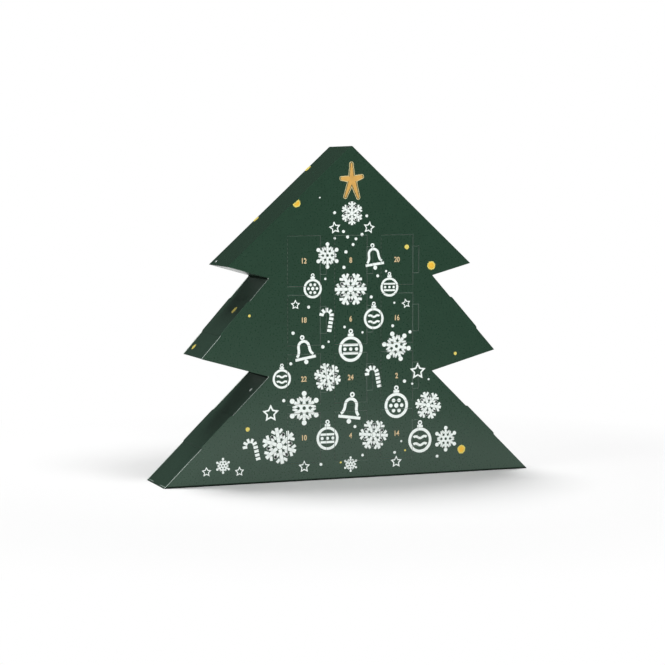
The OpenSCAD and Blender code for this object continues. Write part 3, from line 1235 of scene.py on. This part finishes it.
def tree_star():
    """The gold star at the top: five blunt arms, with a pale outline that stands off at their ends."""
    piece = motif("tree_star")
    places = []
    for tip, corner in zip(STAR_TIPS, STAR_CORNERS):
        out = Vector((tip[0], 0, tip[1]))
        across = Vector((out.z, 0, -out.x)).normalized() * STAR_BLUNT / 2
        places += [out - across, out + across, Vector((corner[0], 0, corner[1]))]
    bpy.ops.mesh.primitive_circle_add(vertices=len(places), radius=MOTIF_R * MM, fill_type="NGON",
                                      rotation=UPRIGHT)
    mesh = bmesh.from_edit_mesh(piece.data)
    corners = clockwise(mesh)
    # The corner nearest to a place just left of the top comes first
    first = Vector((-0.5, 0, MOTIF_R)) * MM
    start = min(range(len(corners)), key=lambda i: (corners[i].co - first).length)
    for i, place in enumerate(places):
        corners[(start + i) % len(corners)].co = place * MM
    bmesh.update_edit_mesh(piece.data)
    choose(piece, "VERT", lambda corner: corner.co.length > STAR_TIPS_FROM * MM)
    bpy.ops.mesh.bevel(affect="VERTICES", offset=STAR_ROUND * MM, segments=4)
    bpy.ops.mesh.select_mode(type="FACE")
    bpy.ops.mesh.select_all(action="SELECT")
    bpy.ops.mesh.inset(thickness=STAR_LINE * MM)
    rim = {face.index for face in bmesh.from_edit_mesh(piece.data).faces if not face.select}
    bpy.ops.mesh.inset(thickness=STAR_LINE * MM)
    mesh = bmesh.from_edit_mesh(piece.data)
    mesh.faces.ensure_lookup_table()
    for face in mesh.faces:
        face.material_index = STAR_RIM if face.index in rim else STAR_GOLD
    stands_off = [face for face in mesh.faces if face.index not in rim and not face.select
                  and face.calc_center_median().length > STAR_GAP_FROM * MM]
    bmesh.ops.delete(mesh, geom=stands_off, context="FACES_ONLY")
    bmesh.update_edit_mesh(piece.data)
    close_motif(piece)
    set_inks(piece, [face.material_index for face in piece.data.polygons])
    piece.location = (TREE_STAR[0] * MM, 0, TREE_STAR[1] * MM)
    apply_place(piece)
    return piece


def score_marks():
    """Faint pressed lines that join the doors of the right column."""
    piece = motif("score_marks")
    x = max(HINGES[n].x for n in FRONT_DOORS) / MM + DOOR_W
    rows = sorted({round(HINGES[n].z / MM, 3) for n in FRONT_DOORS})
    for low, high in zip(rows, rows[1:]):
        bar(x, low + DOOR_H / 2 + SCORE_CLEAR, x, high - DOOR_H / 2 - SCORE_CLEAR, SCORE_W)
    top = rows[-1] + DOOR_H / 2
    bar(x, top + SCORE_CLEAR, x, top + SCORE_ABOVE, SCORE_W)
    close_motif(piece)
    set_ink(piece, SCORE)
    return piece


def numeral(number):
    """A door number as flat print, in the middle of its place on the front."""
    at = HINGES[number]
    sign = -1.0 if number in FRONT_DOORS else 1.0
    deselect()
    bpy.ops.object.text_add(rotation=UPRIGHT)
    text = bpy.context.active_object
    text.data.body = str(number)
    text.data.align_x = "CENTER"
    text.data.align_y = "CENTER"
    text.data.size = bpy.context.scene.calendar_print.numeral_height * NUMERAL_SIZE
    text.data.offset = NUMERAL_BOLD
    text.data.resolution_u = 4
    text.scale = (NUMERAL_NARROW, 1, 1)
    text.location = (-sign * at.x + DOOR_W / 2 * MM, 0, at.z)
    take(text)
    bpy.ops.object.convert(target="MESH")
    piece = bpy.context.active_object
    apply_place(piece)
    edit(piece)
    bpy.ops.mesh.remove_doubles(threshold=DRAWN_MERGE)
    close_motif(piece)
    set_ink(piece, NUMERAL)
    return piece


def draw_face(templates, doors, swap, seed):
    """Draws all the print of a face as one flat piece."""
    names = list(MOTIFS)
    flip = -1 if swap else 1
    parts = []
    for name, x, z, radius, tilt in LAYOUT:
        swapped = names[(names.index(name) + swap) % len(names)]
        parts.append(copy_motif(templates[swapped], x, z, radius / MOTIF_R, tilt * flip))
    snow = motif("snow")
    for x, z, radius in SPECKS + snow_places(bpy.context.scene.calendar_print.snow_count, seed):
        disc(x, z, radius, SNOW_CORNERS)
    close_motif(snow)
    set_ink(snow, WHITE)
    parts.append(snow)
    parts += [blob(x, z, radius, seed + i, flat) for i, (x, z, radius, flat) in enumerate(DOTS)]
    parts += [tree_star(), score_marks()]
    parts += [numeral(number) for number in doors]
    take(*parts)
    bpy.ops.object.join()
    return bpy.context.active_object


def door_lines(doors, sign):
    """Where the die cuts cross the print: x and z of each line, in millimetres."""
    xs, zs = set(), set()
    for number in doors:
        x, z = -sign * HINGES[number].x / MM, HINGES[number].z / MM
        xs.update((x - HINGE_BARE, x + HINGE_BARE, x + DOOR_W, x + DOOR_W + CUT_GAP,
                   x + DOOR_W + TAB_W, x + DOOR_W + TAB_W + CUT_GAP))
        for half in (DOOR_H / 2, TAB_H / 2):
            zs.update((z - half - CUT_GAP, z - half, z + half, z + half + CUT_GAP))
    return sorted(round(x, 4) for x in xs), sorted(round(z, 4) for z in zs)


def door_at(point, doors, sign, grow):
    """The door that a point of the print lies on, with its outline grown by a gap, or None."""
    for number in doors:
        x = point.x / MM + sign * HINGES[number].x / MM
        z = abs(point.z / MM - HINGES[number].z / MM)
        left = -HINGE_BARE if grow else HINGE_BARE
        if left < x < DOOR_W + grow and z < DOOR_H / 2 + grow:
            return number
        if DOOR_W <= x < DOOR_W + TAB_W + grow and z < TAB_H / 2 + grow:
            return number
    return None


def cut_print(sheet, doors, sign):
    """Cuts a face's print along the die lines and returns the cut pieces by door, with None for the sheet."""
    xs, zs = door_lines(doors, sign)
    edit(sheet)
    for x in xs:
        bisect_all((x * MM, 0, 0), (1, 0, 0), threshold=DRAWN_MERGE)
    for z in zs:
        bisect_all((0, 0, z * MM), (0, 0, 1), threshold=DRAWN_MERGE)

    def in_gap(face):
        centre = face.calc_center_median()
        return door_at(centre, doors, sign, CUT_GAP) is not None and door_at(centre, doors, sign, 0) is None

    if choose(sheet, "FACE", in_gap):
        bpy.ops.mesh.delete(type="FACE")
    leave()
    pieces = {}
    for number in doors:
        edit(sheet)
        if choose(sheet, "FACE", lambda face: door_at(face.calc_center_median(), doors, sign, 0) == number):
            before = set(bpy.data.objects)
            bpy.ops.mesh.separate(type="SELECTED")
            leave()
            pieces[number] = (set(bpy.data.objects) - before).pop()
        leave()
    pieces[None] = sheet
    return pieces


def tidy_flat(piece):
    """Joins the coplanar faces of one ink that a cut has left apart."""
    edit(piece)
    bpy.ops.mesh.remove_doubles(threshold=PRINT_MERGE)
    bpy.ops.mesh.dissolve_limited(angle_limit=FLAT, delimit={"MATERIAL"})
    leave()


def thicken(piece):
    """Gives flat print the thickness of ink."""
    take(piece)
    modifier = piece.modifiers.new("ink", "SOLIDIFY")
    modifier.thickness = bpy.context.scene.calendar_print.film
    modifier.offset = 1.0
    bpy.ops.object.modifier_apply(modifier=modifier.name)


def lay_film(piece, sign):
    """Moves flat print from the drawing plane onto its face."""
    piece.location = (0, -FACE_Y, 0)
    apply_place(piece)
    if sign > 0:
        piece.rotation_euler = (0, 0, math.pi)
        apply_place(piece)
    thicken(piece)


class CALENDAR_OT_print(bpy.types.Operator):
    """Print the motifs, the gold and the numbers on both faces, cut at the doors."""

    bl_idname = "calendar.print"
    bl_label = "Print"

    def execute(self, context):
        templates = {name: make() for name, make in MOTIFS.items()}
        for piece in templates.values():
            set_ink(piece, WHITE)
        for face_name, doors, sign, swap, seed in FACES:
            sheet = draw_face(templates, doors, swap, seed)
            for number, piece in cut_print(sheet, doors, sign).items():
                tidy_flat(piece)
                rename(piece, face_name + "_print" if number is None else "leaf_print_%02d" % number)
                lay_film(piece, sign)
                ride(piece, "box" if number is None else "door_%02d" % number)
        for piece in templates.values():
            bpy.data.objects.remove(piece)
        return {"FINISHED"}


def slope_dot(tier, side, share, depth, radius, seed, ink):
    """A dot of ink on a slope, or on the flap that covers the slope there."""
    (x0, z0), (x1, z1) = SLOPES[tier]
    length = math.hypot(x1 - x0, z1 - z0)
    proud = 0.0 if tier == "upper" else -GLUE_GAP
    if tier != "upper" and abs(share - 0.5) * length < FLAP_LEN / 2 - radius:
        taper = bpy.context.scene.calendar_board.flap_taper / MM
        proud = BOARD_T / MM - taper * (depth * MM + FACE_Y) / (2 * FACE_Y)
    out_x, out_z = (z1 - z0) / length, -(x1 - x0) / length
    piece = blob(0, 0, radius, seed)
    set_ink(piece, ink)
    piece.rotation_euler = (-math.pi / 2, 0, 0)
    apply_place(piece)
    thicken(piece)
    piece.rotation_euler = (0, side * math.atan2(out_x, out_z), 0)
    piece.location = (side * (x0 + (x1 - x0) * share + out_x * proud) * MM, depth * MM,
                      (z0 + (z1 - z0) * share + out_z * proud) * MM)
    apply_place(piece)
    return piece


class CALENDAR_OT_slope_dots(bpy.types.Operator):
    """Print the dots on the slopes of the tiers."""

    bl_idname = "calendar.slope_dots"
    bl_label = "Dots on the slopes"

    def execute(self, context):
        marks = [(*dot, PALE) for dot in SLOPE_DOTS] + [(*tick, WHITE) for tick in SLOPE_TICKS]
        parts = [slope_dot(*mark, SLOPE_SEED + i, ink) for i, (*mark, ink) in enumerate(marks)]
        take(*parts)
        bpy.ops.object.join()
        dots = bpy.context.active_object
        rename(dots, "slope_dots")
        ride(dots, "box")
        return {"FINISHED"}


# Stage

# Lamps: the stage value that holds their power, their place and their width, in metres
LAMPS = {
    "top_light": ("top_watts", (-0.13, 0.49, 1.42), 0.7),
    "right_light": ("right_watts", (0.5, -0.7, 1.35), 0.6),
    "left_light": ("left_watts", (-1.5, -0.35, 0.55), 0.9),
    "front_light": ("front_watts", (-0.3, -2.2, 0.35), 0.8),
}
LAMP_AIM = (0, 0, 0.08)
FLOOR_RADIUS = 6.0
SENSOR_MM = 36.0

# Distance from the middle over which the floor turns white, in metres
WHITE_FADE = (0.22, 0.45)

# Over these distances to the right, and to the front or back, the floor's painted reflection in the object's
# gloss fades
ASIDE_FADE = (0.20, 0.40)
DEPTH_FADE = (0.20, 0.67)

# How much the fade to the right leans with depth, and the share at which depth counts behind the object
ASIDE_LEAN = 0.35
BEHIND_SHARE = 0.48

# Over this distance, the floor's painted reflection comes up from the painted shadow close to the object,
# which takes this share
SHADE_FADE = (0.05, 0.25)
SHADE_SHARE = 0.4


def look_from(place, aim):
    """The turn of a lamp or camera at a place that looks at its aim."""
    return (Vector(aim) - Vector(place)).to_track_quat("-Z", "Y").to_euler()


def soft_light(name, place, size, watts):
    """A round lamp that is aimed at the object and doesn't show in its gloss."""
    light = bpy.data.lights.new(name, "AREA")
    light.shape = "DISK"
    light.size = size
    light.energy = watts
    lamp = bpy.data.objects.new(name, light)
    bpy.context.scene.collection.objects.link(lamp)
    lamp.location = place
    lamp.rotation_euler = look_from(place, LAMP_AIM)
    lamp.visible_glossy = False


def math_node(tree, operation, one, two):
    """A maths node on two sockets or values."""
    node = tree.nodes.new("ShaderNodeMath")
    node.operation = operation
    for i, value in enumerate((one, two)):
        if isinstance(value, (int, float)):
            node.inputs[i].default_value = value
        else:
            tree.links.new(value, node.inputs[i])
    return node.outputs["Value"]


def fade_node(tree, value, start, end):
    """Goes smoothly from 0 to 1 while the value goes from start to end."""
    node = add_node(tree, "ShaderNodeMapRange", From_Min=start, From_Max=end, To_Min=0.0, To_Max=1.0)
    node.interpolation_type = "SMOOTHSTEP"
    tree.links.new(value, node.inputs["Value"])
    return node.outputs["Result"]


def mix_shaders(tree, factor, one, two):
    """The first shader where the factor is 0, and the second where it is 1."""
    node = tree.nodes.new("ShaderNodeMixShader")
    tree.links.new(factor, node.inputs["Fac"])
    tree.links.new(one, node.inputs[1])
    tree.links.new(two, node.inputs[2])
    return node.outputs["Shader"]


def mirrored_floor(tree, across, along, stage):
    """Painted reflection: how brightly the floor glows in the object's gloss, bright near it and to its left,
    less so in a painted shadow close to it.
    """
    aside = math_node(tree, "SUBTRACT", across, math_node(tree, "MULTIPLY", along, ASIDE_LEAN))
    in_front = math_node(tree, "MULTIPLY", along, -1.0)
    depth = math_node(tree, "MAXIMUM", in_front, math_node(tree, "MULTIPLY", along, BEHIND_SHARE))
    far_aside = fade_node(tree, aside, *ASIDE_FADE)
    dark = math_node(tree, "MAXIMUM", far_aside, fade_node(tree, depth, *DEPTH_FADE))
    bright = math_node(tree, "MULTIPLY", math_node(tree, "SUBTRACT", 1.0, dark), stage.gloss_floor)
    in_shade = math_node(tree, "MULTIPLY", fade_node(tree, depth, *SHADE_FADE), SHADE_SHARE)
    bright = math_node(tree, "MULTIPLY", bright, math_node(tree, "ADD", in_shade, 1 - SHADE_SHARE))
    return math_node(tree, "ADD", bright, stage.gloss_sky)


def floor_material(stage):
    """A pale floor that keeps the shadow and goes over into the white room away from the object."""
    material, tree, shader = new_shader("floor_white")
    shader.inputs["Base Color"].default_value = (*stage.floor, 1)
    shader.inputs["Roughness"].default_value = 0.9
    shader.inputs["Specular IOR Level"].default_value = 0.0
    path = tree.nodes.new("ShaderNodeLightPath")
    reach = on_object(tree, tree.nodes.new("ShaderNodeVectorMath"))
    reach.operation = "LENGTH"
    split = on_object(tree, tree.nodes.new("ShaderNodeSeparateXYZ"))
    white = add_node(tree, "ShaderNodeEmission", Color=(1, 1, 1, 1), Strength=1.0)
    painted_reflection = add_node(tree, "ShaderNodeEmission", Color=(1, 1, 1, 1))
    strength = mirrored_floor(tree, split.outputs["X"], split.outputs["Y"], stage)
    tree.links.new(strength, painted_reflection.inputs["Strength"])
    far = fade_node(tree, reach.outputs["Value"], *WHITE_FADE)
    away = math_node(tree, "MULTIPLY", far, path.outputs["Is Camera Ray"])
    lit = mix_shaders(tree, away, shader.outputs["BSDF"], white.outputs["Emission"])
    # Glossy rays see the painted reflection, a glow in place of the lit floor
    whole = mix_shaders(tree, path.outputs["Is Glossy Ray"], lit, painted_reflection.outputs["Emission"])
    tree.links.new(whole, tree.nodes["Material Output"].inputs["Surface"])
    return material


def white_room(stage):
    """A world that the camera sees as white. It lights the object, and shows in its gloss, less brightly."""
    world = bpy.data.worlds.new("white_room")
    world.use_nodes = True
    sky = world.node_tree
    background = sky.nodes["Background"]
    background.inputs["Color"].default_value = (1, 1, 1, 1)
    path = sky.nodes.new("ShaderNodeLightPath")
    seen, glossy = path.outputs["Is Camera Ray"], path.outputs["Is Glossy Ray"]
    neither = math_node(sky, "SUBTRACT", 1.0, math_node(sky, "MAXIMUM", seen, glossy))
    ambient = math_node(sky, "MULTIPLY", neither, stage.sky)
    gloss = math_node(sky, "MULTIPLY", glossy, stage.gloss_sky)
    level = math_node(sky, "ADD", math_node(sky, "ADD", ambient, gloss), seen)
    sky.links.new(level, background.inputs["Strength"])
    return world


class CALENDAR_OT_stage(bpy.types.Operator):
    """Set the floor, the light and the camera."""

    bl_idname = "calendar.stage"
    bl_label = "Stage"

    def execute(self, context):
        scene = context.scene
        stage = scene.calendar_stage
        deselect()
        bpy.ops.mesh.primitive_circle_add(vertices=96, radius=FLOOR_RADIUS, fill_type="NGON")
        floor = bpy.context.active_object
        floor.name = "floor"
        floor.data.materials.append(floor_material(stage))

        scene.world = white_room(stage)
        for name, (power, place, size) in LAMPS.items():
            soft_light(name, place, size, getattr(stage, power))

        eye = bpy.data.cameras.new("eye")
        eye.lens = stage.lens
        eye.sensor_width = SENSOR_MM
        camera = bpy.data.objects.new("eye", eye)
        scene.collection.objects.link(camera)
        camera.location = stage.eye
        camera.rotation_euler = look_from(stage.eye, stage.aim)
        scene.camera = camera
        scene.view_settings.view_transform = "Standard"
        return {"FINISHED"}


class CALENDAR_PT_panel(bpy.types.Panel):
    """Lists the calendar's steps."""

    bl_idname = "CALENDAR_PT_panel"
    bl_label = "Advent calendar"
    bl_space_type = "VIEW_3D"
    bl_region_type = "UI"
    bl_category = "Calendar"

    def draw(self, context):
        for step in STEPS:
            self.layout.operator(step.bl_idname)


GROUPS = {
    "calendar_board": CALENDAR_PG_board,
    "calendar_print": CALENDAR_PG_print,
    "calendar_inside": CALENDAR_PG_inside,
    "calendar_stage": CALENDAR_PG_stage,
}
STEPS = (CALENDAR_OT_stage, CALENDAR_OT_sheets, CALENDAR_OT_walls, CALENDAR_OT_doors, CALENDAR_OT_insert,
         CALENDAR_OT_chocolates, CALENDAR_OT_print, CALENDAR_OT_slope_dots)


def register():
    for name, group in GROUPS.items():
        bpy.utils.register_class(group)
        setattr(bpy.types.Scene, name, PointerProperty(type=group))
    for step in STEPS:
        bpy.utils.register_class(step)
    bpy.utils.register_class(CALENDAR_PT_panel)


def unregister():
    bpy.utils.unregister_class(CALENDAR_PT_panel)
    for step in reversed(STEPS):
        bpy.utils.unregister_class(step)
    for name, group in GROUPS.items():
        delattr(bpy.types.Scene, name)
        bpy.utils.unregister_class(group)


def main():
    register()
    for step in STEPS:
        group, name = step.bl_idname.split(".")
        getattr(getattr(bpy.ops, group), name)()
    deselect()


if __name__ == "__main__":
    main()
